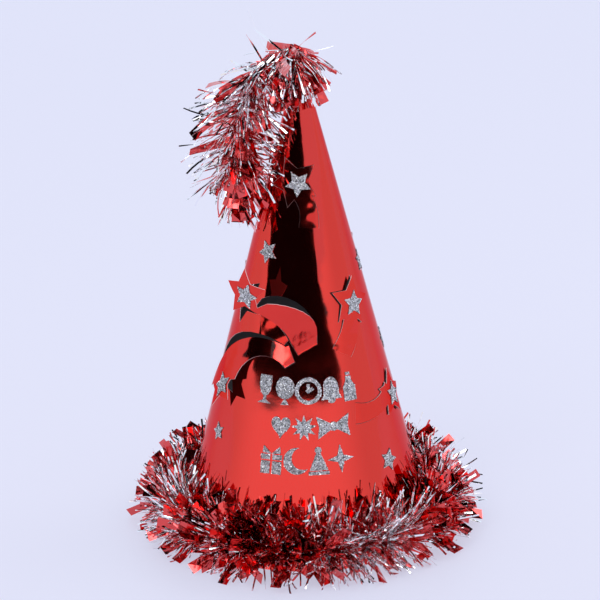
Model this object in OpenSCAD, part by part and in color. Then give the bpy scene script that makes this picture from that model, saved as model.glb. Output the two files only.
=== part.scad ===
// New year party hat: a rolled foil-card cone with die-cut pop-out flaps, glitter
// stars and motifs, a tinsel garland round the brim and a tinsel topper on a wire.
// Origin: centre of the brim, on the plane it stands on. +Z up, front of the hat -Y.
// Azimuth is measured from the front, positive towards +X.

/* [Cone] */
// Outside diameter of the card cone at the brim
brim_d = 150; // [148:1:152]
// Height of the card cone from the brim to the tip
cone_h = 285; // [283:1:287]
// Thickness of the foil card
card_t = 0.4; // [0.3:0.05:0.5]

/* [Seam] */
// Width of the glued overlap at the back
seam_w = 14; // [10:1:16]
// Thickness of the double-sided tape in the overlap
tape_t = 0.15; // [0.1:0.05:0.2]

/* [Flaps] */
// Width of the die cut round a flap
kerf = 0.3; // [0.25:0.05:0.4]
// Radius of the star at a flap's end, centre to tip
flap_star_r = 14.5; // [13.5:0.1:14.6]

/* [Glitter] */
// Height of the glitter layer above the card
glitter_t = 0.35; // [0.2:0.05:0.5]
// Radius of the glitter star on a flap
flap_glitter_r = 7.6; // [6.5:0.1:7.8]
// Height of one glitter motif
motif_h = 16; // [14:0.5:16.5]

/* [Brim garland] */
// Radius of the ring of garland wire
garland_r = 74.4; // [74.2:0.1:74.6]
// Height of the garland wire above the brim
garland_z = 12; // [11:0.5:13]
// Radius of the twisted garland wire
garland_wire_r = 0.6; // [0.5:0.1:0.7]
// Outer radius of the dense part of the tinsel
tinsel_out_r = 106; // [100:1:110]
// Number of glue dabs that hold the wire
glue_count = 10; // [6:1:12]

/* [Topper] */
// Radius of the tinsel bunch on the topper wire
topper_r = 15; // [12:1:16]
// Radius of the twisted topper wire
topper_wire_r = 0.6; // [0.5:0.1:0.7]

/* [Hidden] */
$fn = 64;

brim_r = brim_d / 2;
slant = norm([brim_r, cone_h]);
half = atan(brim_r / cone_h);       // half-angle at the tip
turn = brim_r / slant;              // azimuth shrinks by this in the flat pattern
star_in = 0.52;                     // inner over outer radius of a card star
glitter_in = 0.5;                   // the same for a glitter star
seam_az = 180;
tip_z = cone_h - 3;                 // the card ends here, where the wire leaves the plug
garland_clear = 0.6;                // air between tinsel and cone
root_gap = 2 * kerf;                // air at a flap's root, where its crease is
side_out = [0.55, 0.95];            // out of the low left flap's straight side
skin = 0.01;                        // air between glue and card
foil_red = [0.86, 0.13, 0.14];
film_red = [0.78, 0.1, 0.12];
glitter_grey = [0.8, 0.8, 0.82];
wire_grey = [0.75, 0.75, 0.78];
glue_cream = [0.95, 0.93, 0.85];

// ---- the wall: places on the cone and in its flat pattern -------------------------------

function wall_r(z) = brim_r * (1 - z / cone_h);
function on_cone(az, z) = [wall_r(z) * sin(az), -wall_r(z) * cos(az), z];

// A point p of the flat pattern, [right, up the slope] from home = [azimuth, height],
// as [azimuth, height].
function unroll(p, home) =
    let (far = (cone_h - home[1]) / cone_h * slant,
         rho = norm([p[0], far - p[1]]),
         phi = atan2(p[0], far - p[1]))
    [home[0] + phi / turn, cone_h - rho * cone_h / slant];

// The same point seen along the wall's normal at the place view = [azimuth, height].
function seen(p, home, view) =
    let (q = unroll(p, home),
         d = on_cone(q[0], q[1]) - on_cone(view[0], view[1]),
         right = [cos(view[0]), sin(view[0]), 0],
         up = [-sin(half) * sin(view[0]), sin(half) * cos(view[0]), cos(half)])
    [d * right, d * up];

module at_wall(place)
    translate(on_cone(place[0], place[1])) rotate([90 - half, 0, place[0]]) children();

// A layer of the cone between two heights over the outer face, from the brim to the tip.
module cone_layer(low, high) {
    out = high / cos(half);
    in = low / cos(half);
    rotate_extrude($fn = 180)
        polygon([[brim_r + in, 0], [brim_r + out, 0], [0, cone_h + high / sin(half)],
                 [0, cone_h + low / sin(half)]]);
}

// A prism through the wall from an outline in the flat pattern. It reaches this far in
// and out of the wall at the place it is seen from, past the curve of the outline's ends.
cut_in = 11;
cut_out = 4;
module cut(outline, home, view)
    at_wall(view) translate([0, 0, -cut_in]) linear_extrude(cut_in + cut_out)
        polygon([for (p = outline) seen(p, home, view)]);

// ---- outlines ---------------------------------------------------------------------------

function star_outline(c, r, rot, inner, grow = 0) =
    [for (i = [0:9])
        let (a = rot + 36 * i, out = i % 2 == 0 ? r + 2.2 * grow : r * inner + 1.2 * grow)
        c + out * [sin(a), cos(a)]];

function arc(c, r, from, to, steps = 9) =
    [for (i = [0:steps]) let (a = from + (to - from) * i / steps) c + r * [cos(a), sin(a)]];

// The two ends of a root edge, moved onto the crease line, or a little past it.
function root_ends(ends, point, direction, past) =
    let (e = [cos(direction), sin(direction)], n = [-e[1], e[0]])
    [for (q = ends) point + ((q - point) * e) * e + past * n];

// A flap is [home, view, star centre, star radius, star turn,
//   far arc [centre, radius, from, to], side points,
//   near arc [centre, radius, from, to, kerfs its cut is wide if not one],
//   crease point, root edge direction, hinge direction, angle it stands open]
// The outline grown by the kerf is the hole, and its arcs begin a little further back.
function lead(a, grow) = a[2] + sign(a[2] - a[3]) * 2 * grow / a[1] * 180 / PI;
function tail_outline(f, grow) =
    let (far = concat(arc(f[5][0], f[5][1] + grow, lead(f[5], grow), f[5][3]),
                      [for (q = f[6]) q - (kerf - grow) * side_out]),
         wide = len(f[7]) > 4 ? f[7][4] : 1,
         near = arc(f[7][0], f[7][1] - wide * grow, f[7][3], lead(f[7], grow)))
    concat(far, root_ends([far[len(far) - 1], near[0]], f[8], f[9], root_gap * (1 - grow / kerf)),
           near);

crown = [[-12.8, 213], [-9, 206], [0, 0], flap_star_r, -24,
    [[-14.4, -23.4], 29.5, 55, -1], [], [[-12, -20.3], 16.5, 65, -13],
    [9.3, -25.4], 0, 0, 2];
left = [[-40, 120], [-28, 138], [-14.5, 26.5], flap_star_r, -25,
    [[12.2, 7.7], 24.1, 120, 4], [], [[-1.8, -7.3], 27.4, 100, 34],
    [33, 5.6], 41, 41, 39];
low_left = [[-40, 120], [-42, 108], [-24, -18.2], flap_star_r, -10,
    [[0.2, -40.2], 48.7, 152, 68], [[20.3, 6.6], [25.3, -2.3]],
    [[7.6, -20.9], 19, 166, 46, 2],
    [26.2, -3.4], 40, 169, 18];
right = [[46, 145], [42, 139], [0, -0.5], flap_star_r, 14.5,
    [[-25.5, -10.1], 27.4, 20, -48], [], [[-42.4, 5.3], 37.5, -5, -47.5],
    [-13, -27.4], -36, -36, 4];
side = [[70, 84], [57, 84], [0.6, 2], flap_star_r, 9,
    [[-23.4, 41.4], 46.4, -62, -104.5], [], [[-19.8, 28.3], 23.7, -50, -119.5],
    [-34.6, 2.6], -108, -108, 2.5];
back_right = [[128, 168], [124, 162], [0, 0], flap_star_r, 15.5,
    [[-25.5, -10.1], 27.4, 20, -48], [], [[-42.4, 5.3], 37.5, -5, -47.5],
    [-13, -27.4], -36, -36, 2.5];
back_left = [[-124, 150], [-120, 143], [0, 0], flap_star_r, -24,
    [[-14.4, -23.4], 29.5, 55, -1], [], [[-12, -20.3], 16.5, 65, -13],
    [9.3, -25.4], 0, 0, 2.5];

// The tongue of wall between the two left flaps, free at its right end.
tongue_home = [-40, 120];
tongue_view = [-30, 133];
tongue_crease = [1.9, 13.5];
tongue_turn = -77;
tongue_open = 3;
function tongue_outline(grow) =
    let (top = arc([-1.8, -7.3], 27.4 - kerf + grow, 80, 35),
         low = arc([0.2, -40.2], 48.7 + kerf - grow, 70, 86))
    concat(top, [[18.4 + grow, 5.2]], low,
           root_ends([low[len(low) - 1], top[0]], tongue_crease, tongue_turn,
                     root_gap * (1 - grow / kerf)));

// ---- flaps ------------------------------------------------------------------------------

module hole(f) {
    cut(star_outline(f[2], f[3], f[4], star_in, kerf), f[0], f[1]);
    cut(tail_outline(f, kerf), f[0], f[1]);
}

// Swings what is drawn outward about a crease in the wall.
module swing(point, home, direction, angle) {
    q = unroll(point, home);
    spin = direction - (q[0] - home[0]) * turn;
    at_wall(q) rotate([0, 0, spin]) rotate([angle, 0, 0]) rotate([0, 0, -spin])
        rotate([half - 90, 0, 0]) rotate([0, 0, -q[0]])
        translate(-on_cone(q[0], q[1])) children();
}

module open_flap(f) swing(f[8], f[0], f[10], f[11]) children();

module flap(f)
    color(foil_red) open_flap(f) intersection() {
        cone_layer(-card_t, 0);
        union() {
            cut(star_outline(f[2], f[3], f[4], star_in), f[0], f[1]);
            cut(tail_outline(f, 0), f[0], f[1]);
        }
    }

module flap_glitter(f, offset_right, offset_up, rot)
    color(glitter_grey) open_flap(f) intersection() {
        cone_layer(0, glitter_t);
        cut(star_outline(f[2] + [offset_right, offset_up], flap_glitter_r, rot, glitter_in),
            f[0], f[1]);
    }

module crown_flap() flap(crown);
module left_flap() flap(left);
module low_left_flap() flap(low_left);
module right_flap() flap(right);
module side_flap() flap(side);
module back_right_flap() flap(back_right);
module back_left_flap() flap(back_left);
module left_tongue()
    color(foil_red) swing(tongue_crease, tongue_home, tongue_turn, tongue_open)
        intersection() {
            cone_layer(-card_t, 0);
            cut(tongue_outline(0), tongue_home, tongue_view);
        }

module crown_star() flap_glitter(crown, 2.4, -1, -33);
module left_star() flap_glitter(left, 1.5, -0.8, -8);
module low_left_star() flap_glitter(low_left, 2, -1, -12);
module right_star() flap_glitter(right, 1.2, -1.6, 12);
module side_star() flap_glitter(side, 1, -1, 12);
module back_right_star() flap_glitter(back_right, 1, -1.2, 12);
module back_left_star() flap_glitter(back_left, 1.4, -1, -20);

// ---- the card cone and what holds it ----------------------------------------------------

// A sector of a cone layer, centred on an azimuth.
module sector(low, high, centre_az, width_deg, z_low, z_high) {
    function at(z, over) = wall_r(z) + over / cos(half);
    rotate([0, 0, centre_az - 90 - width_deg / 2])
        rotate_extrude(angle = width_deg, $fn = 180)
            polygon([[at(z_low, low), z_low], [at(z_low, high), z_low],
                     [at(z_high, high), z_high], [at(z_high, low), z_high]]);
}

seam_deg = seam_w / brim_r * 180 / PI;
seam_step_deg = 0.8;
seam_top = cone_h - 14;

module cone_shell()
    color(foil_red) {
        difference() {
            cone_layer(-card_t, 0);
            for (f = [crown, left, low_left, right, side, back_right, back_left]) hole(f);
            cut(tongue_outline(kerf), tongue_home, tongue_view);
            translate([0, 0, tip_z]) cylinder(r = 10, h = 20);
        }
        // the overlapping edge: a step up, then the second layer over the tape
        sector(-card_t / 2, tape_t + card_t, seam_az - (seam_deg - seam_step_deg) / 2,
               seam_step_deg, 0, seam_top);
        sector(tape_t, tape_t + card_t, seam_az, seam_deg, 0, seam_top);
    }

module seam_tape()
    color([0.93, 0.9, 0.8])
        sector(0, tape_t, seam_az + 0.5, seam_deg - 2, 6, seam_top - 8);

// Hot-melt plug that fills the tip and grips the topper wire.
module tip_plug() {
    top = tip_z - 0.2;
    low = tip_z - 21;
    in = (card_t + skin) / cos(half);
    color(glue_cream) rotate_extrude()
        polygon([[0, low], [wall_r(low) - in, low], [wall_r(top) - in, top], [0, top]]);
}

// ---- brim garland -----------------------------------------------------------------------

module brim_wire()
    color(wire_grey) rotate_extrude($fn = 180)
        translate([garland_r, garland_z]) circle(r = garland_wire_r, $fn = 24);

// Hot-melt dabs between the card and the wire, each trimmed to the card's face.
dab_r = 2.2;
dab_from = 60;
module brim_glue_dabs()
    color(glue_cream) difference() {
        for (i = [0:glue_count - 1])
            rotate([90, 0, (i + 0.5) * 360 / glue_count])
                translate([0, garland_z, dab_from])
                    cylinder(r = dab_r, h = garland_r - garland_wire_r - dab_from);
        cone_layer(-30, skin);
    }

// Soft solid of the tinsel: a fat ring that leans on the cone and rests on the table.
module brim_tinsel() {
    lip_r = garland_r + dab_r + 0.4;
    low_z = garland_z + 4;
    lean_z = 36;            // the ring leans on the cone up to here
    crest_z = 42;
    crest_r = 82;
    round_r = 17;
    clear = garland_clear / cos(half);
    bulge = arc([tinsel_out_r - round_r, round_r], round_r, -75, 70, 12);
    color(film_red) rotate_extrude($fn = 120)
        polygon(concat([[lip_r, 0], [tinsel_out_r - round_r, 0]], bulge,
            [[crest_r, crest_z], [wall_r(crest_z - 2) + clear + 2, crest_z],
             [wall_r(lean_z) + clear, lean_z],
             [wall_r(low_z) + clear, low_z], [lip_r, low_z]]));
}

// ---- topper: a bent wire from the tip with a bunch of tinsel -----------------------------

// The wire's route from the tip, out to the left and down. Round numbers, x y z.
topper_route = [[0, 0, 284], [-6, -1, 285], [-13, -2, 283], [-20, -3, 278], [-26, -4, 271],
    [-31, -5, 262], [-34, -6, 252], [-36, -6, 241], [-37, -6, 230], [-37, -6, 219],
    [-36, -6, 210]];

function along(p, i) = let (n = len(p) - 1)
    let (d = p[min(i + 1, n)] - p[max(i - 1, 0)]) d / norm(d);
function ring(p, i, r, sides) =
    let (t = along(p, i), s = cross(t, [0, 1, 0]) / norm(cross(t, [0, 1, 0])), u = cross(s, t))
    [for (k = [0:sides - 1]) p[i] + r[i] * (cos(360 * k / sides) * s + sin(360 * k / sides) * u)];
module swept(p, r, sides) {
    n = len(p) - 1;
    points = [for (i = [0:n]) each ring(p, i, r, sides)];
    walls = [for (i = [0:n - 1], k = [0:sides - 1])
        let (a = i * sides + k, b = i * sides + (k + 1) % sides)
        each [[a, a + sides, b], [b, a + sides, b + sides]]];
    foot = [[for (k = [0:sides - 1]) k]];
    head = [[for (k = [sides - 1:-1:0]) n * sides + k]];
    polyhedron(points, concat(foot, walls, head), convexity = 6);
}

module topper_wire()
    color(wire_grey)
        swept(topper_route, [for (p = topper_route) topper_wire_r], 8);

// The bunch stands off the cone: its middle line lies outside the wire and it is thinner
// beside the tip. The wire runs in along its inner side.
bunch = [for (i = [0:len(topper_route) - 1])
    let (p = topper_route[i], s = i / (len(topper_route) - 1))
    p + [-9 * sin(150 * s) - 2, -5 * s - 1, 5 - 4 * s]];
bunch_r = [for (i = [0:len(bunch) - 1])
    let (s = i / (len(bunch) - 1)) topper_r * (0.32 + 0.68 * sin(20 + 140 * s))];
module topper_tinsel()
    color(film_red) swept(bunch, bunch_r, 16);

// ---- loose glitter stars ------------------------------------------------------------------

module loose_star(az, z, r, rot)
    color(glitter_grey) intersection() {
        cone_layer(0, glitter_t);
        cut(star_outline([0, 0], r, rot, glitter_in), [az, z], [az, z]);
    }

module loose_star_upper_left() loose_star(-42, 173.5, 6.9, -31);
module loose_star_low_left() loose_star(-61.5, 67.5, 5.6, -23);
module loose_star_low_right() loose_star(51, 52.5, 6.8, 24);
module loose_star_right_high() loose_star(85, 162, 6.9, 10);
module loose_star_right_mid() loose_star(92, 114, 6.9, -14);
module loose_star_back_high() loose_star(-160, 196, 6.9, 20);
module loose_star_back_low() loose_star(142, 84, 6.8, -8);
module loose_star_back_left() loose_star(-118, 80, 6.9, 14);

// ---- glitter motifs -----------------------------------------------------------------------

function oval(c, rx, ry, from = 0, to = 360, steps = 20) =
    [for (i = [0:steps]) let (a = from + (to - from) * i / steps)
        c + [rx * cos(a), ry * sin(a)]];
function ray_outline(n, r, inner) =
    [for (i = [0:2 * n - 1]) let (a = 180 * i / n) (i % 2 == 0 ? r : inner) * [sin(a), cos(a)]];

// Each motif is drawn 16 high, then brought to its height.
motif_scale = motif_h / 16;
module flute_2d() {
    polygon(concat([[-3.6, 8], [3.6, 8]], oval([0, 3], 3.7, 7, 0, -180, 14)));
    translate([-0.9, -7]) square([1.8, 5]);
    polygon([[-4.2, -8], [4.2, -8], [1.2, -6.2], [-1.2, -6.2]]);
}
module balloon_2d() {
    polygon(oval([0, 1.6], 5.4, 6.4));
    polygon([[0, -4.2], [2.4, -8], [-2.4, -8]]);
}
module clock_2d() {
    difference() {
        circle(r = 7.6, $fn = 48);
        circle(r = 5.4, $fn = 48);
    }
    translate([-0.9, -1]) square([1.8, 5]);
    rotate(-60) translate([-0.9, -1]) square([1.8, 4.2]);
}
module bell_2d() {
    polygon(concat([[-6.2, -5.4], [6.2, -5.4], [4.6, -3]], oval([0, 1], 4.4, 6.2, 0, 180, 14),
                   [[-4.6, -3]]));
    translate([0, -5.6]) circle(r = 2.2, $fn = 24);
}
module bottle_2d() {
    polygon([[-3.9, -8], [3.9, -8], [3.9, 0], [1.7, 3.6], [1.7, 6], [-1.7, 6], [-1.7, 3.6],
             [-3.9, 0]]);
    translate([-1.3, 6.7]) square([2.6, 1.6]);
}
module heart_2d()
    polygon([for (i = [0:27]) let (a = 360 * i / 28)
        0.43 * [16 * pow(sin(a), 3) * 0.82,
                13 * cos(a) - 5 * cos(2 * a) - 2 * cos(3 * a) - cos(4 * a) + 2]]);
module burst_2d() polygon(ray_outline(9, 7.4, 3.6));
module bow_2d() {
    polygon([[-9.6, 6.4], [-1.4, 1.6], [-1.4, -1.6], [-9.6, -6.4], [-8.4, 0]]);
    polygon([[9.6, 6.4], [1.4, 1.6], [1.4, -1.6], [9.6, -6.4], [8.4, 0]]);
    circle(r = 2.6, $fn = 24);
}
module gift_2d() {
    for (s = [-1, 1]) {
        translate([s * 3.4 - 2.7, -8]) square([5.4, 7.2]);
        translate([s * 3.5 - 2.8, 0]) square([5.6, 3]);
        polygon([[0, 3.4], [s * 4.8, 7.8], [s * 5.4, 3.8]]);
    }
}
module moon_2d() difference() {
    circle(r = 7.6, $fn = 48);
    translate([3.4, 1.4]) circle(r = 6.4, $fn = 48);
}
module hat_2d() {
    polygon([[-5.4, -5.6], [5.4, -5.6], [0.9, 5], [-0.9, 5]]);
    translate([0, 6]) circle(r = 1.9, $fn = 24);
    translate([-6, -8]) square([12, 1.9]);
}
module sparkle_2d() polygon(ray_outline(4, 8, 2.6));

row_z = [99.2, 79, 60.8];           // heights of the three rows
module motif(az, row)
    color(glitter_grey) intersection() {
        cone_layer(0, glitter_t);
        at_wall([az, row_z[row]]) translate([0, 0, -3]) linear_extrude(6)
            scale(motif_scale) children();
    }

module motif_flute() motif(-27, 0) flute_2d();
module motif_balloon() motif(-13.2, 0) balloon_2d();
module motif_clock() motif(2.2, 0) clock_2d();
module motif_bell() motif(17.4, 0) bell_2d();
module motif_bottle() motif(30.6, 0) bottle_2d();
module motif_heart() motif(-15, 1) heart_2d();
module motif_burst() motif(-1, 1) burst_2d();
module motif_bow() motif(17, 1) bow_2d();
module motif_gift() motif(-19.6, 2) gift_2d();
module motif_moon() motif(-5.2, 2) moon_2d();
module motif_hat() motif(6.8, 2) hat_2d();
module motif_sparkle() motif(19.4, 2) sparkle_2d();

cone_shell();
seam_tape();
tip_plug();
brim_wire();
brim_glue_dabs();
brim_tinsel();
topper_wire();
topper_tinsel();
crown_flap();
left_flap();
left_tongue();
low_left_flap();
right_flap();
side_flap();
back_right_flap();
back_left_flap();
crown_star();
left_star();
low_left_star();
right_star();
side_star();
back_right_star();
back_left_star();
loose_star_upper_left();
loose_star_low_left();
loose_star_low_right();
loose_star_right_high();
loose_star_right_mid();
loose_star_back_high();
loose_star_back_low();
loose_star_back_left();
motif_flute();
motif_balloon();
motif_clock();
motif_bell();
motif_bottle();
motif_heart();
motif_burst();
motif_bow();
motif_gift();
motif_moon();
motif_hat();
motif_sparkle();
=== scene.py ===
# Looks of the new year party hat: foil-card cone with pop-out flaps, glitter, tinsel.
# Lengths in the builders below are millimetres; meshes are written in metres.
import math
from collections import namedtuple

import bpy
import numpy as np
from mathutils import Matrix, Vector
from mathutils.geometry import delaunay_2d_cdt


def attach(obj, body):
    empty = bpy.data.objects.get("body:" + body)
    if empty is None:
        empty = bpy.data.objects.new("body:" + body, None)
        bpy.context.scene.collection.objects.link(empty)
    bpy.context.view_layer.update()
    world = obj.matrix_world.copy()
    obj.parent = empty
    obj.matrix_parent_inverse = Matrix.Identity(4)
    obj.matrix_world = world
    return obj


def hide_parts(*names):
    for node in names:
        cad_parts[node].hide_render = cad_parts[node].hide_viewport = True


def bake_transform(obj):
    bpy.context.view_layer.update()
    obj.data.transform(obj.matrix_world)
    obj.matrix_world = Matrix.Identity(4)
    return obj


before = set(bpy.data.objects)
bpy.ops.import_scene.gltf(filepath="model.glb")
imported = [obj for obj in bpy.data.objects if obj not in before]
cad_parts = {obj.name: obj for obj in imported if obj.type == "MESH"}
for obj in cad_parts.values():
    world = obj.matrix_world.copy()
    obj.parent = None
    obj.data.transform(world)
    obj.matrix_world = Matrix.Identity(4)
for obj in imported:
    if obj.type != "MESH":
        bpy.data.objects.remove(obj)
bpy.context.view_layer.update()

MM = 0.001
BRIM_R, CONE_H, CARD = 75.0, 285.0, 0.4
TIP_Z = 282.0                      # the card ends here, round the plug
SLANT = math.hypot(BRIM_R, CONE_H)
HALF = math.atan(BRIM_R / CONE_H)
TURN = BRIM_R / SLANT              # azimuth shrinks by this in the flat pattern
KERF = 0.3
STAR_R, STAR_IN = 14.5, 0.52       # a flap's star: radius, and its inner points' share of it
GLITTER_STAR_R, GLITTER_STAR_IN = 7.6, 0.5
WALL_GRID, FLAP_GRID, BED_GRID = 2.6, 1.6, 0.9     # how far apart a panel's vertices are
RIM_STEP, ROW_STEP = 0.45, 0.866   # the same along its rims and between rows, as shares of it
BATCH = 400                        # rim points compared at once


# ---- the cone and its flat pattern --------------------------------------------------------

def wall_r(z):
    return BRIM_R * (1 - z / CONE_H)


def to_flat(points, home):
    """Points right of and up from home = (azimuth, height), in the whole pattern's plane."""
    a = math.radians(home[0]) * TURN
    p = np.array(points, float) - [0, (CONE_H - home[1]) / CONE_H * SLANT]
    c, s = math.cos(a), math.sin(a)
    return p @ np.array([[c, s], [-s, c]])


def from_flat(q):
    """(azimuth in radians, height) of points in the pattern's plane."""
    rho = np.hypot(q[..., 0], q[..., 1])
    return np.arctan2(q[..., 0], -q[..., 1]) / TURN, CONE_H - rho * CONE_H / SLANT


def normal_at(az):
    return np.stack([math.cos(HALF) * np.sin(az), -math.cos(HALF) * np.cos(az),
                     np.full_like(az, math.sin(HALF))], -1)


def on_cone(q, lift):
    az, z = from_flat(q)
    r = wall_r(z)
    return np.stack([r * np.sin(az), -r * np.cos(az), z], -1) + lift * normal_at(az)


def turn_about(points, point, axis, angles):
    """Points turned about a line, each by its own angle in radians."""
    v = points - point
    c, s = np.cos(angles)[..., None], np.sin(angles)[..., None]
    along = (v @ axis)[..., None] * axis
    return point + v * c + np.cross(axis, v) * s + along * (1 - c)


# ---- materials ----------------------------------------------------------------------------

def material(name, **sockets):
    m = bpy.data.materials.new(name)
    m.use_nodes = True
    bsdf = m.node_tree.nodes["Principled BSDF"]
    for key, value in sockets.items():
        bsdf.inputs[key.replace("_", " ")].default_value = value
    return m, m.node_tree, bsdf


def node(tree, kind, **settings):
    n = tree.nodes.new(kind)
    for key, value in settings.items():
        if key in n.inputs:
            n.inputs[key].default_value = value
        else:
            setattr(n, key, value)
    return n


def waves(tree, bsdf, layers):
    """Bumps from layers of noise: (scale per metre, height in metres)."""
    coords = node(tree, "ShaderNodeTexCoord")
    last = None
    for scale, height in layers:
        noise = node(tree, "ShaderNodeTexNoise", Scale=scale, Detail=2.0)
        bump = node(tree, "ShaderNodeBump", Distance=height, Strength=1.0)
        tree.links.new(coords.outputs["Object"], noise.inputs["Vector"])
        tree.links.new(noise.outputs["Fac"], bump.inputs["Height"])
        if last:
            tree.links.new(last.outputs["Normal"], bump.inputs["Normal"])
        last = bump
    tree.links.new(last.outputs["Normal"], bsdf.inputs["Normal"])


def foil_material(name, colour, roughness, layers, coat, grazing):
    """Coloured mirror film. grazing: how white its edges turn, 0 to 1."""
    m, tree, bsdf = material(name, Base_Color=(*colour, 1), Metallic=1.0,
                             Roughness=roughness, Coat_Weight=coat, Coat_Roughness=0.04,
                             Specular_Tint=(*[grazing + (1 - grazing) * c for c in colour], 1))
    waves(tree, bsdf, layers)
    return m


def card_material(name, colour):
    m, tree, bsdf = material(name, Base_Color=(*colour, 1), Roughness=0.75)
    coords = node(tree, "ShaderNodeTexCoord")
    noise = node(tree, "ShaderNodeTexNoise", Scale=900.0, Detail=4.0)
    ramp = node(tree, "ShaderNodeValToRGB")
    ramp.color_ramp.elements[0].color = (*[c * 0.88 for c in colour], 1)
    ramp.color_ramp.elements[1].color = (*colour, 1)
    tree.links.new(coords.outputs["Object"], noise.inputs["Vector"])
    tree.links.new(noise.outputs["Fac"], ramp.inputs["Fac"])
    tree.links.new(ramp.outputs["Color"], bsdf.inputs["Base Color"])
    waves(tree, bsdf, [(1200.0, 0.00002)])
    return m


def glitter_material(name, scale, low, high, spread, roughness):
    """Grains that each face their own way. scale: grains per metre. low, high: the darkest and
    brightest grey of painted glint, a random one for each grain, standing in for how it catches the
    light.
    """
    m, tree, bsdf = material(name, Metallic=0.85, Roughness=roughness)
    coords = node(tree, "ShaderNodeTexCoord")
    cells = node(tree, "ShaderNodeTexVoronoi", Scale=scale)
    tree.links.new(coords.outputs["Object"], cells.inputs["Vector"])
    centred = node(tree, "ShaderNodeVectorMath", operation="SUBTRACT")
    centred.inputs[1].default_value = (0.5, 0.5, 0.5)
    scaled = node(tree, "ShaderNodeVectorMath", operation="SCALE")
    scaled.inputs["Scale"].default_value = spread
    geometry = node(tree, "ShaderNodeNewGeometry")
    added = node(tree, "ShaderNodeVectorMath", operation="ADD")
    unit = node(tree, "ShaderNodeVectorMath", operation="NORMALIZE")
    tree.links.new(cells.outputs["Color"], centred.inputs[0])
    tree.links.new(centred.outputs[0], scaled.inputs[0])
    tree.links.new(scaled.outputs[0], added.inputs[0])
    tree.links.new(geometry.outputs["Normal"], added.inputs[1])
    tree.links.new(added.outputs[0], unit.inputs[0])
    tree.links.new(unit.outputs[0], bsdf.inputs["Normal"])
    # painted glint: each grain gets a random grey between low and high, standing in for how
    # brightly it catches the light at its angle
    ramp = node(tree, "ShaderNodeValToRGB")
    ramp.color_ramp.elements[0].color = (low, low, low * 1.02, 1)
    ramp.color_ramp.elements[1].color = (high, high, high * 1.02, 1)
    split = node(tree, "ShaderNodeSeparateColor")
    tree.links.new(cells.outputs["Color"], split.inputs[0])
    tree.links.new(split.outputs[1], ramp.inputs["Fac"])
    tree.links.new(ramp.outputs["Color"], bsdf.inputs["Base Color"])
    return m


FOIL = foil_material("red_foil", (0.78, 0.046, 0.036), 0.06,
                     [(22.0, 0.0005), (420.0, 0.000004)], 0.4, 0.2)
FLAP_FOIL = foil_material("red_flap_foil", (0.80, 0.046, 0.036), 0.09,
                          [(38.0, 0.0022), (420.0, 0.000004)], 0.2, 0.2)
# painted shade: the card's back is made dark grey, much darker than bare card, to stand in for the
# unlit inside of the hat seen through the cut holes; the flaps' backs share it
CARD_BACK_PAINTED_SHADE = card_material("card_back_painted_shade", (0.10, 0.095, 0.09))
CARD_EDGE = card_material("card_edge", (0.86, 0.55, 0.52))
# painted glint: the glitter's greys, bright to dark, stand in for how its grains reflect at their
# different angles; the grains' tilted normals add real glint as well
GLITTER = glitter_material("glitter_bed", 1300.0, 0.10, 0.92, 1.3, 0.38)
FLAKES = [glitter_material("flake_painted_glint", 900.0, 0.85, 1.0, 0.3, 0.25),
          glitter_material("flake_painted_half_glint", 900.0, 0.30, 0.55, 0.3, 0.3),
          glitter_material("flake_painted_dark_reflection", 900.0, 0.05, 0.16, 0.3, 0.3)]
RED_FILM = foil_material("red_film", (0.78, 0.066, 0.064), 0.11,
                         [(110.0, 0.0003), (900.0, 0.00002)], 0.75, 1.0)
SILVER_FILM = foil_material("silver_film", (0.98, 0.98, 1.0), 0.09,
                            [(200.0, 0.0001)], 0.2, 1.0)
GLUE, glue_tree, glue_bsdf = material("hot_glue", Base_Color=(0.86, 0.82, 0.70, 1),
                                      Roughness=0.3, Subsurface_Weight=0.4,
                                      Subsurface_Scale=0.002)
waves(glue_tree, glue_bsdf, [(500.0, 0.0002)])
TAPE = card_material("paper_tape", (0.85, 0.80, 0.66))
STEEL, steel_tree, steel_bsdf = material("wire_steel", Base_Color=(0.62, 0.62, 0.64, 1),
                                         Metallic=1.0, Roughness=0.32)
waves(steel_tree, steel_bsdf, [(2500.0, 0.00002)])


# ---- mesh builders ------------------------------------------------------------------------

def mesh_object(name, verts, faces, mats, which, smooth=False):
    """verts in millimetres (N x 3), faces as an index array of one size or a list."""
    me = bpy.data.meshes.new(name)
    if isinstance(faces, list):
        faces = [tuple(int(i) for i in f) for f in faces]
        me.from_pydata((np.asarray(verts) * MM).tolist(), [], faces)
    else:
        count, sides = faces.shape
        me.vertices.add(len(verts))
        me.vertices.foreach_set("co", (np.asarray(verts) * MM).astype(np.float32).ravel())
        me.loops.add(count * sides)
        me.loops.foreach_set("vertex_index", faces.astype(np.int32).ravel())
        me.polygons.add(count)
        me.polygons.foreach_set("loop_start", np.arange(0, count * sides, sides, np.int32))
        me.update(calc_edges=True)
    for m in mats:
        me.materials.append(m)
    me.polygons.foreach_set("material_index", np.asarray(which).astype(np.int32))
    me.polygons.foreach_set("use_smooth", np.full(len(me.polygons), smooth))
    me.update()
    me.validate()
    o = bpy.data.objects.new(name, me)
    bpy.context.scene.collection.objects.link(o)
    return o


def resample(loop, step):
    loop = np.asarray(loop, float)
    nxt = np.roll(loop, -1, axis=0)
    parts = []
    for a, b in zip(loop, nxt):
        n = max(1, int(math.ceil(np.linalg.norm(b - a) / step)))
        parts.append(a + (b - a) * (np.arange(n) / n)[:, None])
    return np.concatenate(parts)


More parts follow.
